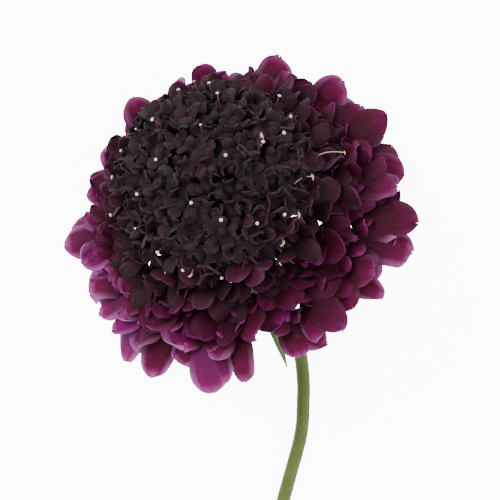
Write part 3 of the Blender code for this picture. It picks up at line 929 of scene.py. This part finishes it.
pin_material, kit = new_material("stigma_cream")
_, _, tint = kit.marks()
speck = kit.cloud(kit.place(), 5200.0, 2.0)
cream = kit.ramp(speck, [(0.35, (0.62, 0.52, 0.38)), (0.65, (0.90, 0.84, 0.72))])
color = kit.mixed(kit.ramp(tint, [(0.35, 0.0), (0.6, 1.0)]), (0.50, 0.38, 0.26), cream)
color = kit.mixed(kit.ramp(tint, [(0.05, 0.0), (0.22, 1.0)]), (0.10, 0.02, 0.05), color)
kit.shade({
    "Base Color": color,
    "Roughness": 0.5,
    "Subsurface Weight": 0.3,
    "Subsurface Scale": 0.0004,
})
kit.bump(speck, 0.5, 0.00005)

pins = Build()
for k in range(STIGMA_COUNT):
    share = (k + 0.7) / STIGMA_COUNT
    angle = math.acos(1 - share * STIGMA_REACH)
    azimuth = STIGMA_START + k * GOLDEN_ANGLE * STIGMA_TURN
    point, outward = dome_spot(angle, azimuth, DOME_MOUTH_RADIUS, DOME_MOUTH_RISE)
    place = HEAD @ standing(point, (outward + wobble(pin_rng, STIGMA_WOBBLE)).normalized())
    height = pin_rng.uniform(0.0018, 0.0028)
    style = (
        (STYLE_ROOT, STYLE_RADIUS),
        (height * 0.5, STYLE_WAIST),
        (height - STIGMA_HEAD_RADIUS * 0.6, STYLE_RADIUS),
    )
    turned(pins, place, style, 6, 0.0)
    radius = STIGMA_HEAD_RADIUS * pin_rng.choice(STIGMA_SIZES)
    ball = []
    for step in range(STIGMA_RINGS):
        turn = math.pi * (step + 0.15) / 6.3
        ball.append((height - radius * 0.7 * math.cos(turn), radius * math.sin(turn) + 0.00001))
    turned(pins, place, ball, 10, 0.9)
for angle, azimuth, lean, height, anther_length, anther_radius in STAMENS:
    point, outward = dome_spot(math.radians(angle), math.radians(azimuth), DOME_MOUTH_RADIUS, DOME_MOUTH_RISE)
    place = HEAD @ standing(point, (outward + polar(0.5, math.radians(azimuth + lean), 0)).normalized())
    thread = []
    for step in range(THREAD_RINGS):
        t = step / (THREAD_RINGS - 1) * 1.2 - 0.2
        thread.append(place @ Vector((0.16 * height * math.sin(math.pi * t), 0, height * t)))
    tube_mesh(pins, thread, [THREAD_RADIUS - THREAD_TAPER * step for step in range(THREAD_RINGS)], 6, 0.25)
    anther, radii = [], []
    for step in range(ANTHER_RINGS):
        t = step / (ANTHER_RINGS - 1)
        bend = ANTHER_BEND * (t - 0.5)
        anther.append(place @ Vector((anther_length * (0.56 * math.sin(bend) + 0.10 * math.sin(5 * t)),
                                      anther_length * 0.45 * (t - 0.5),
                                      height + anther_length * 0.4 * (math.cos(bend) - 0.9))))
        radii.append(anther_radius * math.sin(math.pi * (0.12 + 0.76 * t)) ** 0.6)
    tube_mesh(pins, anther, radii, 10, 0.3)
pins.finish("stigmas", "stigma", pin_material)


# Table, light and camera
# A plain pale table, two large soft lamps and a bright room. The camera looks straight down from half a
# metre, because the photographed flower stands upright and this one lies on its back.

TABLE_HALF = 2
# The table's own light on the flower, and what the camera sees on top of it, to match the photo's white.
TABLE_GLOW = 0.9
TABLE_GLOW_SEEN = 9.0
ROOM_GLOW = 1.15
LAMPS = (
    # name, place, size, power
    ("window", (-0.5, 0.45, 0.7), 0.5, 7.0),
    ("fill", (0.55, -0.2, 0.6), 0.6, 4.0),
)
LAMP_AIM = Vector((0, 0.055, 0.02))
CAMERA_PLACE = (0.0014, 0.0550, 0.518)
CAMERA_LENS = 225
CAMERA_SENSOR = 36

floor_material, kit = new_material("pale_table")
seen = kit.node("ShaderNodeLightPath", {}).outputs["Is Camera Ray"]
kit.shade({
    "Base Color": (0.92, 0.92, 0.92),
    "Roughness": 0.9,
    "Emission Color": (1, 1, 1),
    "Emission Strength": kit.maths("ADD", kit.maths("MULTIPLY", seen, TABLE_GLOW_SEEN), TABLE_GLOW),
})
floor_mesh = bpy.data.meshes.new("table")
corners = [(x * TABLE_HALF, y * TABLE_HALF, 0) for x, y in ((-1, -1), (1, -1), (1, 1), (-1, 1))]
floor_mesh.from_pydata(corners, [], [(0, 1, 2, 3)])
floor_mesh.materials.append(floor_material)
floor = bpy.data.objects.new("table", floor_mesh)
bpy.context.scene.collection.objects.link(floor)

world = bpy.data.worlds.new("room")
world.use_nodes = True
background = world.node_tree.nodes["Background"]
background.inputs["Color"].default_value = (1, 1, 1, 1)
background.inputs["Strength"].default_value = ROOM_GLOW
bpy.context.scene.world = world

for name, place, size, power in LAMPS:
    lamp = bpy.data.lights.new(name, "AREA")
    lamp.size = size
    lamp.energy = power
    lamp_object = bpy.data.objects.new(name, lamp)
    lamp_object.location = place
    lamp_object.rotation_euler = (LAMP_AIM - Vector(place)).to_track_quat("-Z", "Y").to_euler()
    bpy.context.scene.collection.objects.link(lamp_object)

camera = bpy.data.cameras.new("camera")
camera.sensor_width = CAMERA_SENSOR
camera.lens = CAMERA_LENS
camera.clip_start = 0.01
camera_object = bpy.data.objects.new("camera", camera)
camera_object.location = CAMERA_PLACE
bpy.context.scene.collection.objects.link(camera_object)
bpy.context.scene.camera = camera_object
